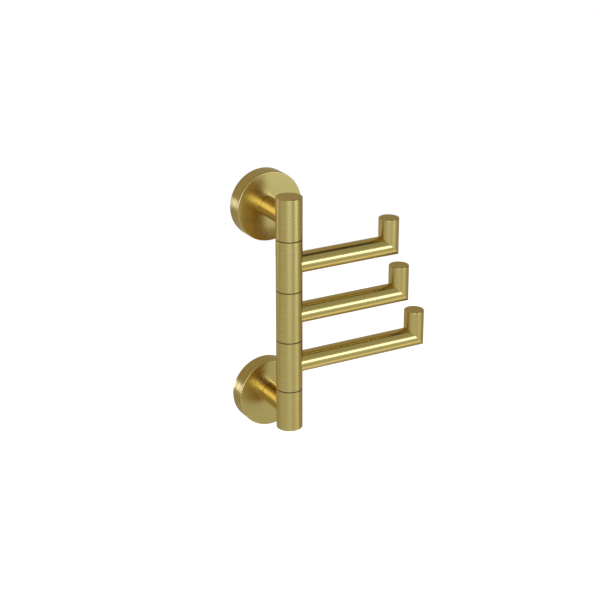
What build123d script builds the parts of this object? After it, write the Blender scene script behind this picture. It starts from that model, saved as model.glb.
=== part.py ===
from build123d import *
import os

# Swivel towel hook: L-shaped arms that turn on an upright post, held off the wall by two round flanges.
# Millimetres. The wall is the plane y = 0, and the post stands in front of it, at negative y.
# +Z is up and +X is to the right, seen from the room. The origin is on the wall, midway between the flanges.

# Post: two fixed ends and three turning sleeves, stacked on a spindle
POST_DIAMETER = 20.0
POST_FROM_WALL = 42.5  # wall to the post's axis
END_LENGTH = 31.95
SLEEVE_LENGTH = 39.3
SLEEVE_WALL = 3.0
POST_EDGE = 0.4  # rounding of the post's free ends
SEAM_BEVEL = 0.2  # on either side of a seam

# Seams between the post's pieces
WASHER_THICKNESS = 0.54
WASHER_RECESS = 0.5  # how far the washer's rim stands back from the post's surface
WASHER_BORE_CLEARANCE = 0.15  # radial
AXIAL_PLAY = 0.03  # on each face of each washer

# Spindle and the bushes that run on it
SPINDLE_DIAMETER = 8.0
SPINDLE_CHAMFER = 0.8
SPINDLE_WEB = 2.0  # metal between the spindle's end and the standoff screw
SPINDLE_BORE_RELIEF = 0.5
BUSH_LENGTH = 11.0
RUNNING_CLEARANCE = 0.05  # radial

# Arms: a rod with a mitred, upturned end. The reach is from the post's axis to the peg's axis.
ARM_DIAMETER = 15.7
UPPER_REACH = 86.0
MIDDLE_REACH = 96.0
LOWER_REACH = 111.0
PEG_RISE = 22.3  # arm's axis to the peg's top
PEG_EDGE = 0.6  # rounding of the peg's top
ARM_SPIGOT_DIAMETER = 8.0
ARM_SPIGOT_GAP = 0.1  # between the spigot's end and the sleeve's bore

# Wall flange: a cup that hides its fixing
FLANGE_DIAMETER = 53.4
FLANGE_DEPTH = 12.8
FLANGE_FACE = 3.0
FLANGE_RIM = 2.5
FLANGE_EDGE = 0.5  # rounding of the face's rim
FLANGE_BACK_BEVEL = 0.25
FLANGE_INNER_BEVEL = 1.0

# Standoff between flange and post, and the long screw through it
STANDOFF_DIAMETER = 15.7
STANDOFF_CHAMFER = 0.3
STANDOFF_SPIGOT_WALL = 1.3
STANDOFF_SPIGOT_GAP = 0.1  # how far the spigot ends short of the flange's inner face
STANDOFF_SPIGOT_CLEARANCE = 0.05  # radial
SCREW_DIAMETER = 6.0
SCREW_HOLE_CLEARANCE = 0.2  # radial
SCREW_ENGAGEMENT = 7.3  # thread in the post
SCREW_HOLE_RELIEF = 1.2  # hole beyond the screw's tip
SCREW_HEAD_BEARING = 1.45  # width of the ring that bears on the flange
SCREW_HEAD_HEIGHT = 3.6
SCREW_HEAD_BEVEL = 0.5
SCREW_SOCKET = 4.0  # across flats
SCREW_SOCKET_DEPTH = 2.2

# Bracket that is screwed to the wall, inside the flange
BRACKET_GAP = 1.8  # bracket's front to the flange's inner face
BRACKET_CLEARANCE = 0.3  # radial, inside the flange's rim
BRACKET_GROOVE_DEPTH = 1.2
BRACKET_CHAMFER = 0.8
BRACKET_RELIEF = 2.0  # radial, round the standoff screw's head
WALL_SCREW_SPACING = 30.0
WALL_SCREW_HOLE_DIAMETER = 5.2
WALL_SCREW_SINK_DIAMETER = 9.6

# Grub screw that locks the flange on the bracket, from below
GRUB_DIAMETER = 4.0
GRUB_TIP_DIAMETER = 1.0
GRUB_SEAT_GAP = 0.05  # tip's cone to the groove
GRUB_RECESS = 0.4
GRUB_SOCKET = 2.0  # across flats
GRUB_SOCKET_DEPTH = 1.2

# Sizes that follow from those above
POST_RADIUS = POST_DIAMETER / 2
SPINDLE_RADIUS = SPINDLE_DIAMETER / 2
SLEEVE_BORE_RADIUS = POST_RADIUS - SLEEVE_WALL
ARM_RADIUS = ARM_DIAMETER / 2
ARM_SPIGOT_RADIUS = ARM_SPIGOT_DIAMETER / 2
STANDOFF_RADIUS = STANDOFF_DIAMETER / 2
SCREW_RADIUS = SCREW_DIAMETER / 2
SCREW_HOLE_RADIUS = SCREW_RADIUS + SCREW_HOLE_CLEARANCE
STANDOFF_SPIGOT_RADIUS = SCREW_HOLE_RADIUS + STANDOFF_SPIGOT_WALL
FLANGE_BORE_RADIUS = STANDOFF_SPIGOT_RADIUS + STANDOFF_SPIGOT_CLEARANCE
SCREW_HEAD_RADIUS = FLANGE_BORE_RADIUS + SCREW_HEAD_BEARING
FLANGE_RADIUS = FLANGE_DIAMETER / 2
CUP_RADIUS = FLANGE_RADIUS - FLANGE_RIM
CUP_DEPTH = FLANGE_DEPTH - FLANGE_FACE
BRACKET_RADIUS = CUP_RADIUS - BRACKET_CLEARANCE
BRACKET_THICKNESS = CUP_DEPTH - BRACKET_GAP
GROOVE_RADIUS = BRACKET_RADIUS - BRACKET_GROOVE_DEPTH
GRUB_FROM_WALL = BRACKET_THICKNESS / 2
GRUB_RADIUS = GRUB_DIAMETER / 2

# Heights on the post: sleeves and seams are evenly spaced about its middle
SLEEVES = (("upper", UPPER_REACH), ("middle", MIDDLE_REACH), ("lower", LOWER_REACH))
SEAM_GAP = WASHER_THICKNESS + 2 * AXIAL_PLAY
SLEEVE_PITCH = SLEEVE_LENGTH + SEAM_GAP
TOP_SEAM = SLEEVE_PITCH * len(SLEEVES) / 2
END_FACE = TOP_SEAM + SEAM_GAP / 2  # inner face of a fixed end
STANDOFF_HEIGHT = END_FACE + END_LENGTH / 2
SPINDLE_ENGAGEMENT = END_LENGTH / 2 - SCREW_RADIUS - SPINDLE_WEB

UP_FROM_BASE = (Align.CENTER, Align.CENTER, Align.MIN)
DOWN_FROM_TOP = (Align.CENTER, Align.CENTER, Align.MAX)
TOLERANCE = 0.001  # for finding edges


def on_post(height):
    """Place on the post's axis."""
    return Pos(0, -POST_FROM_WALL, height)


def on_wall(height):
    """Place on the wall, where a piece's own +Z points into the room and its own +Y points up."""
    return Plane(origin=(0, 0, height), x_dir=(1, 0, 0), z_dir=(0, -1, 0)).location


def rod(radius, start, end):
    """Round bar along Z from one height to another."""
    return Pos(0, 0, start) * Cylinder(radius, end - start, align=UP_FROM_BASE)


def ring(outer_radius, inner_radius, length):
    """Plain ring or tube about Z, centred on its own middle."""
    return Cylinder(outer_radius, length) - Cylinder(inner_radius, length)


def turned(*outline):
    """Solid turned about Z from a closed outline of (radius, height) points."""
    return revolve(make_face(Plane.XZ * Polyline(*outline, close=True)), Axis.Z)


def hex_socket(across_flats, depth):
    """Cutter for a hexagon socket that opens at z = 0 and goes down."""
    return extrude(RegularPolygon(across_flats / 2, 6, major_radius=False), -depth)


def rim(solid, height, radius):
    """The round edge of that radius at that height."""
    edges = solid.edges().filter_by(GeomType.CIRCLE)
    level = edges.filter_by_position(Axis.Z, height - TOLERANCE, height + TOLERANCE)
    return level.filter_by(lambda edge: abs(edge.radius - radius) < TOLERANCE)


def post_end():
    """Fixed end of the post, free face up, with the spindle's blind hole and the standoff screw's hole."""
    end = rod(POST_RADIUS, 0, END_LENGTH)
    end = fillet(rim(end, END_LENGTH, POST_RADIUS), POST_EDGE)
    end = chamfer(rim(end, 0, POST_RADIUS), SEAM_BEVEL)
    end -= rod(SPINDLE_RADIUS, 0, SPINDLE_ENGAGEMENT + SPINDLE_BORE_RELIEF)
    hole_bottom = POST_RADIUS - SCREW_ENGAGEMENT - SCREW_HOLE_RELIEF
    screw_hole = rod(SCREW_RADIUS, hole_bottom, POST_DIAMETER)
    return end - Pos(0, 0, END_LENGTH / 2) * Rot(X=-90) * screw_hole


def sleeve():
    """Turning sleeve of the post, bored for its bushes, with a side hole for the arm's spigot."""
    body = ring(POST_RADIUS, SLEEVE_BORE_RADIUS, SLEEVE_LENGTH)
    for end in (-SLEEVE_LENGTH / 2, SLEEVE_LENGTH / 2):
        body = chamfer(rim(body, end, POST_RADIUS), SEAM_BEVEL)
    return body - Rot(Y=90) * rod(ARM_SPIGOT_RADIUS, 0, POST_DIAMETER)


def bush():
    """Plain bush, tight in the sleeve and running on the spindle."""
    return ring(SLEEVE_BORE_RADIUS, SPINDLE_RADIUS + RUNNING_CLEARANCE, BUSH_LENGTH)


def seam_washer():
    """Thin friction washer that parts two pieces of the post."""
    return ring(POST_RADIUS - WASHER_RECESS, SPINDLE_RADIUS + WASHER_BORE_CLEARANCE, WASHER_THICKNESS)


def spindle():
    """Steel rod through the whole stack, screwed into both ends of the post."""
    half_length = END_FACE + SPINDLE_ENGAGEMENT
    bar = rod(SPINDLE_RADIUS, -half_length, half_length)
    return chamfer(bar.edges().filter_by(GeomType.CIRCLE), SPINDLE_CHAMFER)


def arm(reach):
    """Rod with a mitred corner and an upright peg, coped to sit on the sleeve and spigoted into it."""
    path = Polyline((0, 0, 0), (reach, 0, 0), (reach, 0, PEG_RISE))
    body = sweep(Plane.YZ * Circle(ARM_RADIUS), path, transition=Transition.RIGHT)
    body = fillet(rim(body, PEG_RISE, ARM_RADIUS), PEG_EDGE)
    body -= Cylinder(POST_RADIUS, 2 * ARM_DIAMETER)
    spigot_end = SLEEVE_BORE_RADIUS + ARM_SPIGOT_GAP
    return body + Rot(Y=90) * rod(ARM_SPIGOT_RADIUS, spigot_end, POST_DIAMETER)


def flange():
    """Round cup that stands on the wall, with a bored face and a hole below for the grub screw."""
    cup = turned(
        (FLANGE_BORE_RADIUS, FLANGE_DEPTH),
        (FLANGE_RADIUS, FLANGE_DEPTH),
        (FLANGE_RADIUS, 0),
        (CUP_RADIUS, 0),
        (CUP_RADIUS, CUP_DEPTH),
        (FLANGE_BORE_RADIUS, CUP_DEPTH),
    )
    cup = fillet(rim(cup, FLANGE_DEPTH, FLANGE_RADIUS), FLANGE_EDGE)
    cup = chamfer(rim(cup, 0, FLANGE_RADIUS), FLANGE_BACK_BEVEL)
    cup = chamfer(rim(cup, CUP_DEPTH, CUP_RADIUS), FLANGE_INNER_BEVEL)
    grub_hole = rod(GRUB_RADIUS, FLANGE_BORE_RADIUS, FLANGE_DIAMETER)
    return cup - Pos(0, 0, GRUB_FROM_WALL) * Rot(X=90) * grub_hole


def wall_bracket():
    """Thick disc screwed to the wall, with a groove round its edge that the grub screw bites into."""
    relief_radius = SCREW_HEAD_RADIUS + BRACKET_RELIEF
    disc = turned(
        (relief_radius, 0),
        (BRACKET_RADIUS, 0),
        (BRACKET_RADIUS, GRUB_FROM_WALL - BRACKET_GROOVE_DEPTH),
        (GROOVE_RADIUS, GRUB_FROM_WALL),
        (BRACKET_RADIUS, GRUB_FROM_WALL + BRACKET_GROOVE_DEPTH),
        (BRACKET_RADIUS, BRACKET_THICKNESS - BRACKET_CHAMFER),
        (BRACKET_RADIUS - BRACKET_CHAMFER, BRACKET_THICKNESS),
        (relief_radius, BRACKET_THICKNESS),
    )
    hole_radius = WALL_SCREW_HOLE_DIAMETER / 2
    sink_radius = WALL_SCREW_SINK_DIAMETER / 2
    sink = Cone(hole_radius, sink_radius, sink_radius - hole_radius, align=DOWN_FROM_TOP)
    screw_hole = rod(hole_radius, 0, BRACKET_THICKNESS) + Pos(0, 0, BRACKET_THICKNESS) * sink
    for side in (-1, 1):
        disc -= Pos(side * WALL_SCREW_SPACING / 2, 0, 0) * screw_hole
    return disc


def standoff():
    """Spacer rod from the flange to the post, spigoted into the flange and coped to the post."""
    body = rod(STANDOFF_RADIUS, FLANGE_DEPTH, POST_FROM_WALL)
    body = chamfer(rim(body, FLANGE_DEPTH, STANDOFF_RADIUS), STANDOFF_CHAMFER)
    body += rod(STANDOFF_SPIGOT_RADIUS, CUP_DEPTH + STANDOFF_SPIGOT_GAP, FLANGE_DEPTH)
    body -= Pos(0, 0, POST_FROM_WALL) * Rot(X=90) * Cylinder(POST_RADIUS, 2 * STANDOFF_DIAMETER)
    return body - rod(SCREW_HOLE_RADIUS, 0, POST_FROM_WALL)


def standoff_screw():
    """Long pan-head screw from inside the flange, through the standoff, into the end of the post."""
    head_back = CUP_DEPTH - SCREW_HEAD_HEIGHT
    screw_tip = POST_FROM_WALL - POST_RADIUS + SCREW_ENGAGEMENT
    head = rod(SCREW_HEAD_RADIUS, head_back, CUP_DEPTH)
    head = chamfer(rim(head, head_back, SCREW_HEAD_RADIUS), SCREW_HEAD_BEVEL)
    head -= Pos(0, 0, head_back) * Rot(X=180) * hex_socket(SCREW_SOCKET, SCREW_SOCKET_DEPTH)
    return head + rod(SCREW_RADIUS, CUP_DEPTH, screw_tip)


def grub_screw():
    """Cone-point screw through the bottom of the flange's rim, up into the bracket's groove."""
    tip_radius = GRUB_TIP_DIAMETER / 2
    tip = GROOVE_RADIUS + tip_radius + GRUB_SEAT_GAP
    shoulder = tip + GRUB_RADIUS - tip_radius
    outer_end = FLANGE_RADIUS - GRUB_RECESS
    screw = turned(
        (0, tip),
        (tip_radius, tip),
        (GRUB_RADIUS, shoulder),
        (GRUB_RADIUS, outer_end),
        (0, outer_end),
    )
    screw -= Pos(0, 0, outer_end) * hex_socket(GRUB_SOCKET, GRUB_SOCKET_DEPTH)
    return Pos(0, 0, GRUB_FROM_WALL) * Rot(X=90) * screw


def wall_fixings():
    """The two flanges with what holds them to the wall and to the fixed ends of the post."""
    pieces = {}
    for place, side, turn in (("upper", 1, Rot()), ("lower", -1, Rot(Y=180))):
        here = on_wall(side * STANDOFF_HEIGHT)
        pieces[f"{place}_wall_bracket"] = here * wall_bracket()
        pieces[f"{place}_flange"] = here * flange()
        pieces[f"{place}_grub_screw"] = here * grub_screw()
        pieces[f"{place}_standoff"] = here * standoff()
        pieces[f"{place}_standoff_screw"] = here * standoff_screw()
        pieces[f"{place}_post_end"] = on_post(side * END_FACE) * turn * post_end()
    return pieces


def swing_arms():
    """The three sleeves with their arms and bushes."""
    pieces = {}
    bush_offset = (SLEEVE_LENGTH - BUSH_LENGTH) / 2
    for number, (name, reach) in enumerate(SLEEVES):
        height = TOP_SEAM - (number + 0.5) * SLEEVE_PITCH
        pieces[f"{name}_sleeve"] = on_post(height) * sleeve()
        pieces[f"{name}_arm"] = on_post(height) * arm(reach)
        pieces[f"{name}_sleeve_top_bush"] = on_post(height + bush_offset) * bush()
        pieces[f"{name}_sleeve_bottom_bush"] = on_post(height - bush_offset) * bush()
    return pieces


def spindle_stack():
    """The spindle and the washers that part the pieces turning on it."""
    pieces = {"spindle": on_post(0) * spindle()}
    for number in range(len(SLEEVES) + 1):
        pieces[f"seam_washer_{number + 1}"] = on_post(TOP_SEAM - number * SLEEVE_PITCH) * seam_washer()
    return pieces


os.makedirs("parts", exist_ok=True)
for part_name, solid in {**wall_fixings(), **swing_arms(), **spindle_stack()}.items():
    export_step(solid, f"parts/{part_name}.step")
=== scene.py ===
"""Swivel towel hook in satin brass: the finish of each piece and a plain studio, around the packed model."""

import math
from typing import NamedTuple

import bmesh
import bpy
from bpy.props import FloatProperty, FloatVectorProperty, PointerProperty
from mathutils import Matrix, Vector


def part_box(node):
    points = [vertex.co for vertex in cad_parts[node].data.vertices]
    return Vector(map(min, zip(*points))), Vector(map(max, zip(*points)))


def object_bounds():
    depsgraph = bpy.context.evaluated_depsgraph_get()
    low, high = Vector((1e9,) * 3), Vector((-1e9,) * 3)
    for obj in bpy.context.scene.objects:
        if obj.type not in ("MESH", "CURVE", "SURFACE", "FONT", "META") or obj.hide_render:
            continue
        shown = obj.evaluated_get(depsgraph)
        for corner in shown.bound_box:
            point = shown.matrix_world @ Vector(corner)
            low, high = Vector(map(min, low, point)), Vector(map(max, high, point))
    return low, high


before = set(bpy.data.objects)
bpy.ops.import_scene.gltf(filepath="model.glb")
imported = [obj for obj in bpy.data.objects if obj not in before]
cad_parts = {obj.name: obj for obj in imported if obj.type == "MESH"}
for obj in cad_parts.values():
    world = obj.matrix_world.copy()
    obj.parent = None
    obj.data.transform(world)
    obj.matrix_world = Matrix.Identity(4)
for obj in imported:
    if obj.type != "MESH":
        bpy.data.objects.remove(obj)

bl_info = {
    "name": "Swivel towel hook",
    "version": (1, 0, 0),
    "blender": (4, 5, 0),
    "location": "3D View > Sidebar > Towel hook",
    "description": "Finishes the pieces of a swivel towel hook and sets it in a plain studio",
    "category": "Object",
}

CAD_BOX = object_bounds()
MILLIMETRE = 0.001

WHITE = (1.0, 1.0, 1.0, 1.0)
PALE = (0.85, 0.85, 0.85, 1.0)
GREY = (0.5, 0.5, 0.5, 1.0)

# Depth of the rounding at a flange's front, behind which its rim starts.
RIM_ROUNDING = 0.5 * MILLIMETRE

# Depth of the skin by which a flat end is told from the edge round it.
END_SKIN = 0.02 * MILLIMETRE

# Turn of the stretched gloss, as a share of a full turn, from along the brush lines to across them.
ACROSS_THE_LINES = 0.25

# Numbers of the colour sockets of a Mix node.
MIX_SHARE = 0
MIX_FIRST = 6
MIX_SECOND = 7
MIX_RESULT = 2

# Halfway through the range of a noise or of a blend, which is from 0 to 1.
HALFWAY = 0.5

PLACES = ("upper", "lower")
ARMS = ("upper", "middle", "lower")


class Weights(NamedTuple):
    """How far a pattern moves a finish's colour and roughness, and its share in the surface's relief."""

    tint: float
    gloss: float
    relief: float = 0.0


# Brushed brass: its patterns, of which the clouds leave no relief, how fast a band changes along its run
# beside a line, and the strength of the relief.
BRUSH_LINES = Weights(tint=1.2, gloss=0.1, relief=1.0)
BRUSH_BANDS = Weights(tint=4.0, gloss=0.2, relief=0.5)
BRASS_CLOUDS = Weights(tint=0.6, gloss=0.05)
BAND_RUN = 0.5
BRUSH_BUMP = 0.6

# Moulded nylon: how far the grain moves its roughness, its worn spots' brightness beside its colour, the
# grain's depth beside its size, the strength of the relief, and the noise's detail.
NYLON_GLOSS = 0.2
NYLON_WEAR = 1.8
NYLON_DEPTH = 0.1
NYLON_BUMP = 0.3
NYLON_DETAIL = 4.0

# Turned steel: the pitch of the lathe's rings, how far they run, how far they move its roughness, their
# shade beside its colour, their depth beside their pitch, and the strength of the relief.
RING_PITCH = 0.2 * MILLIMETRE
RING_RUN = 8 * MILLIMETRE
RING_GLOSS = 0.16
RING_SHADE = 0.82
RING_DEPTH = 0.05
RING_BUMP = 0.4

# Cast zinc: its patterns, the clouds' size beside the grain's, its shade beside its colour, the grain's
# depth beside its size, the strength of the relief, and the detail of both noises.
CAST_GRAIN = Weights(tint=1.2, gloss=0.3, relief=1.0)
CAST_CLOUDS = Weights(tint=1.6, gloss=0.5, relief=0.5)
CAST_CLOUD_SIZE = 9
CAST_SHADE = 0.55
CAST_DEPTH = 1 / 6
CAST_BUMP = 0.8
CAST_GRAIN_DETAIL = 5.0
CAST_CLOUD_DETAIL = 4.0

# Brightness of the floor's own glow, where 1 is white, and the floor's radius beside the tent's.
FLOOR_GLOW = 0.75
FLOOR_REACH = 2.5


class Patch(NamedTuple):
    """Round patch of the tent: the setting of its colour, and its place, edge and core in degrees."""

    colour: str
    azimuth: float
    elevation: float
    edge: float
    core: float


# Patches of the tent, each laid over those before it.
PATCHES = (
    Patch("front_colour", azimuth=20, elevation=15, edge=80, core=40),
    Patch("glow_colour", azimuth=30, elevation=-6, edge=26, core=10),
    Patch("flag_colour", azimuth=89, elevation=27, edge=34, core=4),
    Patch("low_colour", azimuth=-47, elevation=-49, edge=75, core=45),
    Patch("flag_colour", azimuth=82, elevation=63, edge=18, core=0),
    Patch("wall_colour", azimuth=4, elevation=38, edge=24, core=8),
)


def middle_of(node):
    """Centre of a node's box, in metres."""
    low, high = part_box(node)
    return (low + high) / 2


class Socket:
    """A node's output. An expression on it adds Math nodes."""

    def __init__(self, nodes, output):
        self.nodes = nodes
        self.output = output

    def maths(self, operation, first, second):
        return self.nodes.add("Math", {"operation": operation}, {0: first, 1: second})

    def __add__(self, other):
        return self.maths("ADD", self, other)

    def __radd__(self, other):
        return self.maths("ADD", other, self)

    def __sub__(self, other):
        return self.maths("SUBTRACT", self, other)

    def __rsub__(self, other):
        return self.maths("SUBTRACT", other, self)

    def __mul__(self, other):
        return self.maths("MULTIPLY", self, other)

    def __rmul__(self, other):
        return self.maths("MULTIPLY", other, self)

    def __truediv__(self, other):
        return self.maths("DIVIDE", self, other)

    def __rtruediv__(self, other):
        return self.maths("DIVIDE", other, self)

    def __pow__(self, other):
        return self.maths("POWER", self, other)

    def __rpow__(self, other):
        return self.maths("POWER", other, self)

    def __gt__(self, other):
        return self.maths("GREATER_THAN", self, other)

    def __lt__(self, other):
        return self.maths("LESS_THAN", self, other)


class Nodes:
    """The node tree of a material or a world, emptied and ready to be built."""

    def __init__(self, owner):
        owner.use_nodes = True
        self.tree = owner.node_tree
        self.tree.nodes.clear()

    def add(self, kind, settings=None, inputs=None, output=0):
        """Add a node with its settings and its sockets' values or links, and give the outputs asked for."""
        node = self.tree.nodes.new("ShaderNode" + kind)
        for key, value in (settings or {}).items():
            setattr(node, key, value)
        for key, value in (inputs or {}).items():
            if isinstance(value, Socket):
                self.tree.links.new(value.output, node.inputs[key])
            else:
                node.inputs[key].default_value = value
        if output is None:
            return None
        if isinstance(output, tuple):
            return tuple(Socket(self, node.outputs[key]) for key in output)
        return Socket(self, node.outputs[output])

    def place(self):
        """The shaded point's x, y and z in the part's own frame, in metres."""
        point = self.add("TexCoord", output="Object")
        return self.add("SeparateXYZ", inputs={"Vector": point}, output=("X", "Y", "Z"))

    def noise(self, x, y, z, detail=2.0):
        """Noise whose grains are about 1 across in the given coordinates."""
        vector = self.add("CombineXYZ", inputs={"X": x, "Y": y, "Z": z})
        return self.add("TexNoise", inputs={"Vector": vector, "Scale": 1.0, "Detail": detail}, output="Fac")

    def stripes(self, along, across, run, pitch):
        """Noise that changes over the pitch from stripe to stripe, and slowly with the run along them."""
        return self.noise(along / pitch, across / pitch, run)

    def mottle(self, x, y, z, size, detail=2.0):
        """Noise with grains of the given size, alike in all directions."""
        return self.noise(x / size, y / size, z / size, detail)

    def ramp(self, value, start, end):
        """Smooth step from 0 to 1 as the value goes from start to end."""
        inputs = {"Value": value, "From Min": start, "From Max": end}
        return self.add("MapRange", {"interpolation_type": "SMOOTHSTEP"}, inputs)

    def blend(self, share, first, second):
        """Colour that goes from the first to the second as the share goes from 0 to 1."""
        inputs = {MIX_SHARE: share, MIX_FIRST: first, MIX_SECOND: second}
        return self.add("Mix", {"data_type": "RGBA"}, inputs, output=MIX_RESULT)

    def finish(self, surface):
        self.add("OutputMaterial", inputs={"Surface": surface}, output=None)


def rgba(colour, share=1.0):
    """A setting's colour for a node's socket, made darker or lighter by the share."""
    return (*(share * channel for channel in colour), 1.0)


class BrassSettings(bpy.types.PropertyGroup):
    """Satin brass of everything that shows."""

    colour: FloatVectorProperty(
        name="Colour", description="Brass as it shows in plain white light", subtype="COLOR", size=3,
        min=0.0, max=1.0, default=(0.63, 0.46, 0.15))
    deep_colour: FloatVectorProperty(
        name="Deep colour", description="Brass in the bottom of the brush lines", subtype="COLOR", size=3,
        min=0.0, max=1.0, default=(0.59, 0.42, 0.125))
    groove_colour: FloatVectorProperty(
        name="Groove colour", description="Brass in the grooves turned round the flanges' rims",
        subtype="COLOR", size=3, min=0.0, max=1.0, default=(0.54, 0.38, 0.108))
    post_roughness: FloatProperty(
        name="Post roughness", description="Roughness of the brushed post", subtype="FACTOR",
        min=0.0, max=1.0, default=0.29)
    post_grain: FloatProperty(
        name="Post grain", description="How far the brush lines stretch the post's reflections",
        subtype="FACTOR", min=0.0, max=1.0, default=0.6)
    arm_roughness: FloatProperty(
        name="Arm roughness", description="Roughness of the smoother arms and standoffs", subtype="FACTOR",
        min=0.0, max=1.0, default=0.19)
    peg_roughness: FloatProperty(
        name="Peg roughness", description="Roughness of the pegs at the arms' ends", subtype="FACTOR",
        min=0.0, max=1.0, default=0.3)
    flange_roughness: FloatProperty(
        name="Flange roughness", description="Roughness of the wall flanges", subtype="FACTOR",
        min=0.0, max=1.0, default=0.24)
    end_roughness: FloatProperty(
        name="End roughness", description="Roughness of the flat ends of the post and the pegs",
        subtype="FACTOR", min=0.0, max=1.0, default=0.42)
    end_brush: FloatProperty(
        name="End brushing", description="How strongly the post's flat ends are brushed", subtype="FACTOR",
        min=0.0, max=1.0, default=0.4)
    post_brush: FloatProperty(
        name="Post brushing", description="How strongly the post is brushed", subtype="FACTOR",
        min=0.0, max=1.0, default=1.0)
    arm_brush: FloatProperty(
        name="Arm brushing", description="How strongly the arms and standoffs are brushed", subtype="FACTOR",
        min=0.0, max=1.0, default=0.06)
    face_brush: FloatProperty(
        name="Face brushing", description="How strongly the flanges' faces are brushed", subtype="FACTOR",
        min=0.0, max=1.0, default=0.12)
    rim_breadth: FloatProperty(
        name="Rim line breadth", description="How much broader the lines on the flanges' rims are",
        min=0.1, default=1.6)
    rim_brush: FloatProperty(
        name="Rim brushing", description="How strongly the flanges' rims are brushed", subtype="FACTOR",
        min=0.0, max=3.0, default=2.2)
    line_pitch: FloatProperty(
        name="Line pitch", description="Width of one fine brush line", unit="LENGTH",
        min=0.00001, default=0.15 * MILLIMETRE)
    band_pitch: FloatProperty(
        name="Band pitch", description="Width of the broader bands that brush lines form", unit="LENGTH",
        min=0.0001, default=1.1 * MILLIMETRE)
    line_length: FloatProperty(
        name="Line length", description="How far a brush line runs before it fades", unit="LENGTH",
        min=0.001, default=70 * MILLIMETRE)
    line_depth: FloatProperty(
        name="Line depth", description="Depth of the brush lines", unit="LENGTH",
        min=0.0, default=0.002 * MILLIMETRE)
    cloud_size: FloatProperty(
        name="Cloud size", description="Size of the soft patches that handling leaves", unit="LENGTH",
        min=0.001, default=16 * MILLIMETRE)


class NylonSettings(bpy.types.PropertyGroup):
    """Black nylon of the seam washers and bushes."""

    colour: FloatVectorProperty(
        name="Colour", description="Moulded nylon", subtype="COLOR", size=3, min=0.0, max=1.0,
        default=(0.008, 0.008, 0.009))
    roughness: FloatProperty(
        name="Roughness", description="Roughness of the moulded surface", subtype="FACTOR",
        min=0.0, max=1.0, default=0.65)
    grain: FloatProperty(
        name="Grain", description="Size of the moulded grain", unit="LENGTH", min=0.00001,
        default=0.3 * MILLIMETRE)


class FixingSettings(bpy.types.PropertyGroup):
    """Steel of the spindle and screws, and cast zinc of the wall brackets."""

    steel_colour: FloatVectorProperty(
        name="Steel", description="Plated steel", subtype="COLOR", size=3, min=0.0, max=1.0,
        default=(0.58, 0.58, 0.6))
    steel_roughness: FloatProperty(
        name="Steel roughness", description="Roughness of turned steel", subtype="FACTOR",
        min=0.0, max=1.0, default=0.28)
    zinc_colour: FloatVectorProperty(
        name="Zinc", description="Cast zinc", subtype="COLOR", size=3, min=0.0, max=1.0,
        default=(0.56, 0.57, 0.6))
    zinc_roughness: FloatProperty(
        name="Zinc roughness", description="Roughness of the casting's skin", subtype="FACTOR",
        min=0.0, max=1.0, default=0.46)
    cast_grain: FloatProperty(
        name="Cast grain", description="Size of the casting's grain", unit="LENGTH", min=0.00001,
        default=0.6 * MILLIMETRE)


class StudioSettings(bpy.types.PropertyGroup):
    """Camera, lights and what stands round the hook."""

    azimuth: FloatProperty(
        name="Azimuth", description="Camera's turn round the hook; 0 looks along +Y", subtype="ANGLE",
        default=math.radians(-29.082))
    elevation: FloatProperty(
        name="Elevation", description="Camera's angle above the horizon", subtype="ANGLE",
        default=math.radians(21.565))
    distance: FloatProperty(
        name="Distance", description="Camera to the middle of the hook", unit="LENGTH", default=1.24468)
    aim_right: FloatProperty(
        name="Aim right", description="Picture's centre to the right of the hook's middle", unit="LENGTH",
        default=-24.35 * MILLIMETRE)
    aim_up: FloatProperty(
        name="Aim up", description="Picture's centre above the hook's middle", unit="LENGTH",
        default=-2.71 * MILLIMETRE)
    lens: FloatProperty(
        name="Lens", description="Focal length on a 36 mm sensor", subtype="DISTANCE_CAMERA", default=97.4)
    floor_drop: FloatProperty(
        name="Floor drop", description="Floor below the hook's middle", unit="LENGTH", default=2.7)
    tent_radius: FloatProperty(
        name="Tent radius", description="Radius of the grey tent round the hook", unit="LENGTH", default=3.0)
    lamp_distance: FloatProperty(
        name="Lamp distance", description="Softboxes to the hook's middle", unit="LENGTH", default=2.6)
    lamp_colour: FloatVectorProperty(
        name="Lamp colour", description="Cool white of the softboxes", subtype="COLOR", size=3,
        min=0.0, max=1.0, default=(0.46, 0.58, 1.0))
    key_level: FloatProperty(
        name="Key level", description="Brightness of the softbox on the right; 1 is white", default=5.3)
    fill_level: FloatProperty(
        name="Fill level", description="Brightness of the softbox on the left; 1 is white", default=4.65)
    back_level: FloatProperty(
        name="Back level", description="Brightness of the softbox behind; 1 is white", default=3.2)
    card_level: FloatProperty(
        name="Card level", description="Brightness of the low card on the right; 1 is white", default=0.68)
    wall_colour: FloatVectorProperty(
        name="Tent walls", description="Warm grey of the tent's walls and of the top of its front",
        subtype="COLOR", size=3, min=0.0, max=1.0, default=(0.43, 0.4, 0.31))
    front_colour: FloatVectorProperty(
        name="Tent front", description="Plain grey of the tent's front", subtype="COLOR", size=3,
        min=0.0, max=1.0, default=(0.455, 0.515, 0.5))
    low_colour: FloatVectorProperty(
        name="Tent's low front", description="Paler grey of the tent's low front", subtype="COLOR", size=3,
        min=0.0, max=1.0, default=(0.59, 0.67, 0.72))
    glow_colour: FloatVectorProperty(
        name="Glow", description="Pale grey of the tent round the softbox on the right", subtype="COLOR",
        size=3, min=0.0, max=1.0, default=(0.72, 0.87, 0.97))
    flag_colour: FloatVectorProperty(
        name="Flags", description="Near black of the two flags on the right", subtype="COLOR", size=3,
        min=0.0, max=1.0, default=(0.03, 0.025, 0.02))


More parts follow.
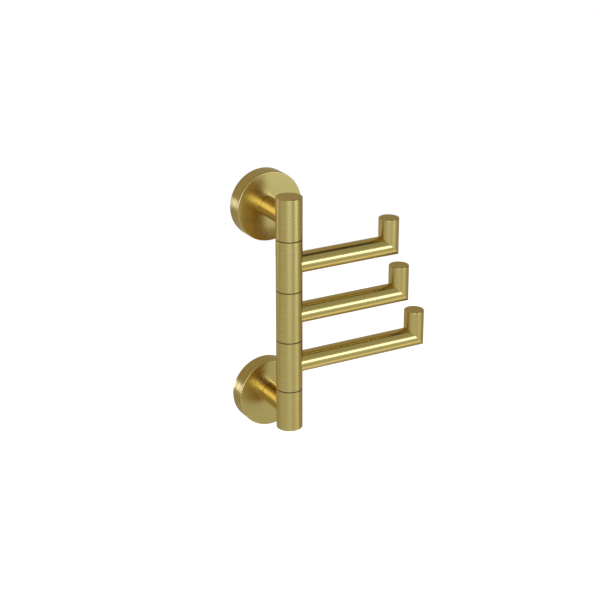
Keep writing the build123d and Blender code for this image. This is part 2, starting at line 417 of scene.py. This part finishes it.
def brushed_brass(name, lines_of, finish_of, grain=0.0):
    """Brass brushed round a piece's axis: fine lines and broader bands in its gloss, colour and surface.

    lines_of takes the point's x, y and z, and gives the two distances across which the lines change.
    finish_of takes the same, and gives the roughness, how strongly the lines show and their deep colour.
    grain is how far the lines stretch reflections.
    """
    brass = bpy.context.scene.hook_brass
    material = bpy.data.materials.new(name)
    nodes = Nodes(material)
    x, y, z = nodes.place()
    along, across = lines_of(x, y, z)
    roughness, brush, deep = finish_of(x, y, z)
    run = (x + y + z) / brass.line_length
    lines = nodes.stripes(along, across, run, brass.line_pitch) - HALFWAY
    bands = nodes.stripes(along, across, run * BAND_RUN, brass.band_pitch) - HALFWAY
    clouds = nodes.mottle(x, y, z, brass.cloud_size) - HALFWAY
    tint = (bands * BRUSH_BANDS.tint + lines * BRUSH_LINES.tint) * brush + clouds * BRASS_CLOUDS.tint
    gloss = (bands * BRUSH_BANDS.gloss + lines * BRUSH_LINES.gloss) * brush + clouds * BRASS_CLOUDS.gloss
    relief = (lines * BRUSH_LINES.relief + bands * BRUSH_BANDS.relief) * brush
    normal = nodes.add("Bump", inputs={
        "Strength": BRUSH_BUMP, "Distance": brass.line_depth, "Height": relief})
    nodes.finish(nodes.add("BsdfPrincipled", inputs={
        "Base Color": nodes.blend(HALFWAY + tint, rgba(brass.colour), deep),
        "Metallic": 1.0,
        "Roughness": roughness + gloss,
        "Anisotropic": grain,
        "Anisotropic Rotation": ACROSS_THE_LINES,
        "Normal": normal,
    }))
    return material


def upright_lines(axis):
    """Brush lines round an upright axis: level rings on its sides and circles on its ends."""
    def lines_of(x, y, z):
        return z, ((x - axis.x) ** 2.0 + (y - axis.y) ** 2.0) ** 0.5
    return lines_of


def level_lines(axis, breadth=1.0):
    """Brush lines round an axis from the wall into the room, broader on the sides by the given factor."""
    def lines_of(x, y, z):
        return y / breadth, ((x - axis.x) ** 2.0 + (z - axis.z) ** 2.0) ** 0.5
    return lines_of


def beyond_mitre(x, z, corner):
    """1 on an arm's peg, beyond the mitre at its corner, and 0 on its rod."""
    return x + z > corner.x + corner.z


def mitred_lines(corner):
    """Brush lines round an arm, and round its upright peg beyond the mitre at their corner."""
    def lines_of(x, y, z):
        peg = beyond_mitre(x, z, corner)
        along = x + (z - x) * peg
        return along, peg * ((x - corner.x) ** 2.0 + (y - corner.y) ** 2.0) ** 0.5
    return lines_of


def moulded_nylon():
    """Matt black nylon with a fine moulded grain."""
    nylon = bpy.context.scene.hook_nylon
    material = bpy.data.materials.new("black_nylon_moulded")
    nodes = Nodes(material)
    x, y, z = nodes.place()
    grain = nodes.mottle(x, y, z, nylon.grain, NYLON_DETAIL)
    normal = nodes.add("Bump", inputs={
        "Strength": NYLON_BUMP, "Distance": NYLON_DEPTH * nylon.grain, "Height": grain})
    nodes.finish(nodes.add("BsdfPrincipled", inputs={
        "Base Color": nodes.blend(grain, rgba(nylon.colour), rgba(nylon.colour, NYLON_WEAR)),
        "Roughness": nylon.roughness + (grain - HALFWAY) * NYLON_GLOSS,
        "Normal": normal,
    }))
    return material


def turned_steel(name, lines_of):
    """Plated steel with the fine rings of a lathe."""
    fixing = bpy.context.scene.hook_fixings
    material = bpy.data.materials.new(name)
    nodes = Nodes(material)
    x, y, z = nodes.place()
    along, across = lines_of(x, y, z)
    rings = nodes.stripes(along, across, (x + y + z) / RING_RUN, RING_PITCH)
    normal = nodes.add("Bump", inputs={
        "Strength": RING_BUMP, "Distance": RING_DEPTH * RING_PITCH, "Height": rings})
    nodes.finish(nodes.add("BsdfPrincipled", inputs={
        "Base Color": nodes.blend(rings, rgba(fixing.steel_colour), rgba(fixing.steel_colour, RING_SHADE)),
        "Metallic": 1.0,
        "Roughness": fixing.steel_roughness + (rings - HALFWAY) * RING_GLOSS,
        "Normal": normal,
    }))
    return material


def cast_zinc():
    """Dull cast zinc with a pitted skin and cloudy patches."""
    fixing = bpy.context.scene.hook_fixings
    material = bpy.data.materials.new("bracket_zinc_cast")
    nodes = Nodes(material)
    x, y, z = nodes.place()
    size = fixing.cast_grain
    grain = nodes.mottle(x, y, z, size, CAST_GRAIN_DETAIL) - HALFWAY
    clouds = nodes.mottle(x, y, z, CAST_CLOUD_SIZE * size, CAST_CLOUD_DETAIL) - HALFWAY
    tint = HALFWAY + clouds * CAST_CLOUDS.tint + grain * CAST_GRAIN.tint
    relief = grain * CAST_GRAIN.relief + clouds * CAST_CLOUDS.relief
    normal = nodes.add("Bump", inputs={
        "Strength": CAST_BUMP, "Distance": CAST_DEPTH * size, "Height": relief})
    nodes.finish(nodes.add("BsdfPrincipled", inputs={
        "Base Color": nodes.blend(tint, rgba(fixing.zinc_colour), rgba(fixing.zinc_colour, CAST_SHADE)),
        "Metallic": 1.0,
        "Roughness": fixing.zinc_roughness + grain * CAST_GRAIN.gloss + clouds * CAST_CLOUDS.gloss,
        "Normal": normal,
    }))
    return material


def dress(material, *names):
    """Give the named nodes a material."""
    for name in names:
        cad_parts[name].data.materials[0] = material


class HOOK_OT_finish_post(bpy.types.Operator):
    """Brush the post's fixed ends and turning sleeves"""

    bl_idname = "towel_hook.finish_post"
    bl_label = "Finish the post"
    bl_options = {"REGISTER", "UNDO"}

    def execute(self, context):
        brass = context.scene.hook_brass
        lines = upright_lines(middle_of("middle_sleeve"))
        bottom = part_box("lower_post_end")[0].z + END_SKIN
        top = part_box("upper_post_end")[1].z - END_SKIN

        def finish_of(x, y, z):
            end = (z > top) + (z < bottom)
            roughness = brass.post_roughness + end * (brass.end_roughness - brass.post_roughness)
            brush = brass.post_brush + end * (brass.end_brush - brass.post_brush)
            return roughness, brush, rgba(brass.deep_colour)

        material = brushed_brass("satin_brass_post", lines, finish_of, brass.post_grain)
        dress(material, *(f"{place}_post_end" for place in PLACES), *(f"{arm}_sleeve" for arm in ARMS))
        return {"FINISHED"}


class HOOK_OT_finish_arms(bpy.types.Operator):
    """Brush each arm round its rod and its upturned peg"""

    bl_idname = "towel_hook.finish_arms"
    bl_label = "Finish the arms"
    bl_options = {"REGISTER", "UNDO"}

    def execute(self, context):
        brass = context.scene.hook_brass
        for arm in ARMS:
            low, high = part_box(f"{arm}_arm")
            radius = (high.y - low.y) / 2
            corner = Vector((high.x - radius, low.y + radius, low.z + radius))
            top = high.z - END_SKIN

            def finish_of(x, y, z):
                peg = beyond_mitre(x, z, corner) * (brass.peg_roughness - brass.arm_roughness)
                end = (z > top) * (brass.end_roughness - brass.peg_roughness)
                return brass.arm_roughness + peg + end, brass.arm_brush, rgba(brass.deep_colour)

            material = brushed_brass(f"satin_brass_{arm}_arm", mitred_lines(corner), finish_of)
            dress(material, f"{arm}_arm")
        return {"FINISHED"}


class HOOK_OT_finish_flanges(bpy.types.Operator):
    """Brush the wall flanges and the standoffs that carry the post"""

    bl_idname = "towel_hook.finish_flanges"
    bl_label = "Finish the flanges"
    bl_options = {"REGISTER", "UNDO"}

    def execute(self, context):
        brass = context.scene.hook_brass
        for place in PLACES:
            middle = middle_of(f"{place}_flange")
            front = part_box(f"{place}_flange")[0].y + RIM_ROUNDING

            def finish_of(x, y, z):
                rim = y > front
                brush = brass.face_brush + rim * (brass.rim_brush - brass.face_brush)
                deep = rim.nodes.blend(rim, rgba(brass.deep_colour), rgba(brass.groove_colour))
                return brass.flange_roughness, brush, deep

            lines = level_lines(middle, brass.rim_breadth)
            flange = brushed_brass(f"satin_brass_{place}_flange", lines, finish_of)
            finish = (brass.arm_roughness, brass.arm_brush, rgba(brass.deep_colour))
            standoff = brushed_brass(
                f"satin_brass_{place}_standoff", level_lines(middle), lambda x, y, z: finish)
            dress(flange, f"{place}_flange")
            dress(standoff, f"{place}_standoff")
        return {"FINISHED"}


class HOOK_OT_finish_seams(bpy.types.Operator):
    """Finish the black washers in the seams and the bushes in the sleeves"""

    bl_idname = "towel_hook.finish_seams"
    bl_label = "Finish the seams"
    bl_options = {"REGISTER", "UNDO"}

    def execute(self, context):
        washers = [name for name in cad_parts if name.startswith("seam_washer")]
        bushes = [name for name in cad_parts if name.endswith("_bush")]
        dress(moulded_nylon(), *washers, *bushes)
        return {"FINISHED"}


class HOOK_OT_finish_fixings(bpy.types.Operator):
    """Finish the spindle, the screws and the wall brackets"""

    bl_idname = "towel_hook.finish_fixings"
    bl_label = "Finish the fixings"
    bl_options = {"REGISTER", "UNDO"}

    def execute(self, context):
        dress(turned_steel("fixing_steel_spindle", upright_lines(middle_of("spindle"))), "spindle")
        zinc = cast_zinc()
        for place in PLACES:
            lines = level_lines(middle_of(f"{place}_standoff_screw"))
            dress(turned_steel(f"fixing_steel_{place}_screw", lines), f"{place}_standoff_screw")
            lines = upright_lines(middle_of(f"{place}_grub_screw"))
            dress(turned_steel(f"fixing_steel_{place}_grub", lines), f"{place}_grub_screw")
            dress(zinc, f"{place}_wall_bracket")
        return {"FINISHED"}


def bearing(azimuth, elevation):
    """Unit vector from the hook; azimuth 0 is the front, and 90 degrees is +X."""
    level = math.cos(elevation)
    return Vector((math.sin(azimuth) * level, -math.cos(azimuth) * level, math.sin(elevation)))


def add_to_scene(item):
    bpy.context.scene.collection.objects.link(item)
    return item


def stage_mesh(name, build, material):
    """Stage object whose mesh the given function fills."""
    mesh = bpy.data.meshes.new(name)
    shape = bmesh.new()
    build(shape)
    shape.to_mesh(mesh)
    shape.free()
    # A ray finds the stage's glow by meeting it: the stage isn't sampled as a lamp.
    material.cycles.emission_sampling = "NONE"
    mesh.materials.append(material)
    item = add_to_scene(bpy.data.objects.new(name, mesh))
    return item


def seen_share(nodes):
    """1 for rays from the camera, or off gloss or through glass, and 0 for the rest."""
    kinds = ("Is Camera Ray", "Is Glossy Ray", "Is Transmission Ray")
    camera, glossy, clear = nodes.add("LightPath", output=kinds)
    return nodes.add("Clamp", inputs={"Value": camera + glossy + clear})


def softbox(name, middle, colour, level, azimuth, elevation, distance, width, height):
    """Rectangular lamp that faces the hook. Its level is its brightness, where 1 is white."""
    lamp = bpy.data.lights.new(name, "AREA")
    lamp.shape = "RECTANGLE"
    lamp.size = width
    lamp.size_y = height
    lamp.color = colour
    # Power that makes the lamp's face as bright as its level.
    lamp.energy = math.pi * level * width * height
    item = add_to_scene(bpy.data.objects.new(name, lamp))
    away = bearing(math.radians(azimuth), math.radians(elevation))
    item.location = middle + away * distance
    item.rotation_mode = "QUATERNION"
    item.rotation_quaternion = away.to_track_quat("Z", "Y")
    item.visible_camera = False


def white_backdrop():
    """World that is white behind the hook and in its gloss, and a plain grey light otherwise."""
    world = bpy.data.worlds.new("studio_backdrop")
    nodes = Nodes(world)
    light = nodes.add("Background", inputs={"Color": GREY})
    white = nodes.add("Background", inputs={"Color": WHITE})
    surface = nodes.add("MixShader", inputs={0: seen_share(nodes), 1: light, 2: white})
    nodes.add("OutputWorld", inputs={"Surface": surface}, output=None)
    bpy.context.scene.world = world


def pale_floor(studio, middle):
    """Pale floor that shows white and keeps the hook's shadow."""
    material = bpy.data.materials.new("studio_floor")
    nodes = Nodes(material)
    paint = nodes.add("BsdfDiffuse", inputs={"Color": PALE})
    white = nodes.add("Emission", inputs={"Color": WHITE})
    glow = nodes.add("MixShader", inputs={0: seen_share(nodes) * FLOOR_GLOW, 2: white})
    nodes.finish(nodes.add("AddShader", inputs={0: paint, 1: glow}))
    radius = FLOOR_REACH * studio.tent_radius
    floor = stage_mesh(
        "studio_floor",
        lambda shape: bmesh.ops.create_circle(shape, cap_ends=True, segments=96, radius=radius),
        material)
    floor.location = middle - Vector((0.0, 0.0, studio.floor_drop))


def patch_share(nodes, towards, patch):
    """Share of a patch in the tent's colour: 0 beyond its edge and 1 in its core."""
    centre = tuple(bearing(math.radians(patch.azimuth), math.radians(patch.elevation)))
    facing = nodes.add("VectorMath", {"operation": "DOT_PRODUCT"}, {0: towards, 1: centre}, output="Value")
    return nodes.ramp(facing, math.cos(math.radians(patch.edge)), math.cos(math.radians(patch.core)))


def warm_tent(studio, middle):
    """Warm grey tent with pale and dark patches for the brass to mirror, that the camera sees through."""
    material = bpy.data.materials.new("studio_tent")
    nodes = Nodes(material)
    point = nodes.add("TexCoord", output="Object")
    towards = nodes.add("VectorMath", {"operation": "NORMALIZE"}, {0: point})
    colour = rgba(studio.wall_colour)
    for patch in PATCHES:
        share = patch_share(nodes, towards, patch)
        colour = nodes.blend(share, colour, rgba(getattr(studio, patch.colour)))
    nodes.finish(nodes.add("Emission", inputs={"Color": colour}))
    tent = stage_mesh(
        "studio_tent",
        lambda shape: bmesh.ops.create_uvsphere(
            shape, u_segments=48, v_segments=24, radius=studio.tent_radius),
        material)
    tent.location = middle
    tent.visible_camera = False
    tent.visible_shadow = False


def aim_camera(studio, middle):
    """Camera at the photograph's angle."""
    lens = bpy.data.cameras.new("studio_camera")
    lens.lens = studio.lens
    camera = add_to_scene(bpy.data.objects.new("studio_camera", lens))
    away = bearing(studio.azimuth, studio.elevation)
    turn = away.to_track_quat("Z", "Y")
    camera.rotation_mode = "QUATERNION"
    camera.rotation_quaternion = turn
    camera.location = middle + turn @ Vector((studio.aim_right, studio.aim_up, studio.distance))
    bpy.context.scene.camera = camera


class HOOK_OT_set_stage(bpy.types.Operator):
    """Set the floor, the backdrop, the tent, the lamps and the camera"""

    bl_idname = "towel_hook.set_stage"
    bl_label = "Set the stage"
    bl_options = {"REGISTER", "UNDO"}

    def execute(self, context):
        studio = context.scene.hook_studio
        low, high = CAD_BOX
        middle = (low + high) / 2
        white_backdrop()
        pale_floor(studio, middle)
        warm_tent(studio, middle)
        distance = studio.lamp_distance
        softbox("key_softbox", middle, studio.lamp_colour, studio.key_level,
                azimuth=32, elevation=0, distance=distance, width=1.1, height=0.76)
        softbox("fill_softbox", middle, studio.lamp_colour, studio.fill_level,
                azimuth=-26, elevation=9, distance=distance, width=1.68, height=1.26)
        softbox("back_softbox", middle, studio.lamp_colour, studio.back_level,
                azimuth=-138, elevation=-6, distance=distance, width=0.96, height=0.64)
        softbox("low_card", middle, WHITE[:3], studio.card_level,
                azimuth=53, elevation=-43, distance=distance, width=0.6, height=1.9)
        aim_camera(studio, middle)
        context.scene.view_settings.view_transform = "Standard"
        return {"FINISHED"}


STEPS = (
    HOOK_OT_finish_post,
    HOOK_OT_finish_arms,
    HOOK_OT_finish_flanges,
    HOOK_OT_finish_seams,
    HOOK_OT_finish_fixings,
    HOOK_OT_set_stage,
)

SETTINGS = {
    "hook_brass": BrassSettings,
    "hook_nylon": NylonSettings,
    "hook_fixings": FixingSettings,
    "hook_studio": StudioSettings,
}


class HOOK_PT_sidebar(bpy.types.Panel):
    """Settings and steps of the towel hook"""

    bl_idname = "HOOK_PT_sidebar"
    bl_label = "Towel hook"
    bl_space_type = "VIEW_3D"
    bl_region_type = "UI"
    bl_category = "Towel hook"

    def draw(self, context):
        for key, group in SETTINGS.items():
            box = self.layout.box()
            box.label(text=group.__doc__)
            for setting in group.__annotations__:
                box.prop(getattr(context.scene, key), setting)
        for step in STEPS:
            self.layout.operator(step.bl_idname)


CLASSES = (*SETTINGS.values(), *STEPS, HOOK_PT_sidebar)


def register():
    for item in CLASSES:
        bpy.utils.register_class(item)
    for key, group in SETTINGS.items():
        setattr(bpy.types.Scene, key, PointerProperty(type=group))


def unregister():
    for key in SETTINGS:
        delattr(bpy.types.Scene, key)
    for item in reversed(CLASSES):
        bpy.utils.unregister_class(item)


def main():
    register()
    bpy.ops.towel_hook.finish_post()
    bpy.ops.towel_hook.finish_arms()
    bpy.ops.towel_hook.finish_flanges()
    bpy.ops.towel_hook.finish_seams()
    bpy.ops.towel_hook.finish_fixings()
    bpy.ops.towel_hook.set_stage()


if __name__ == "__main__":
    main()
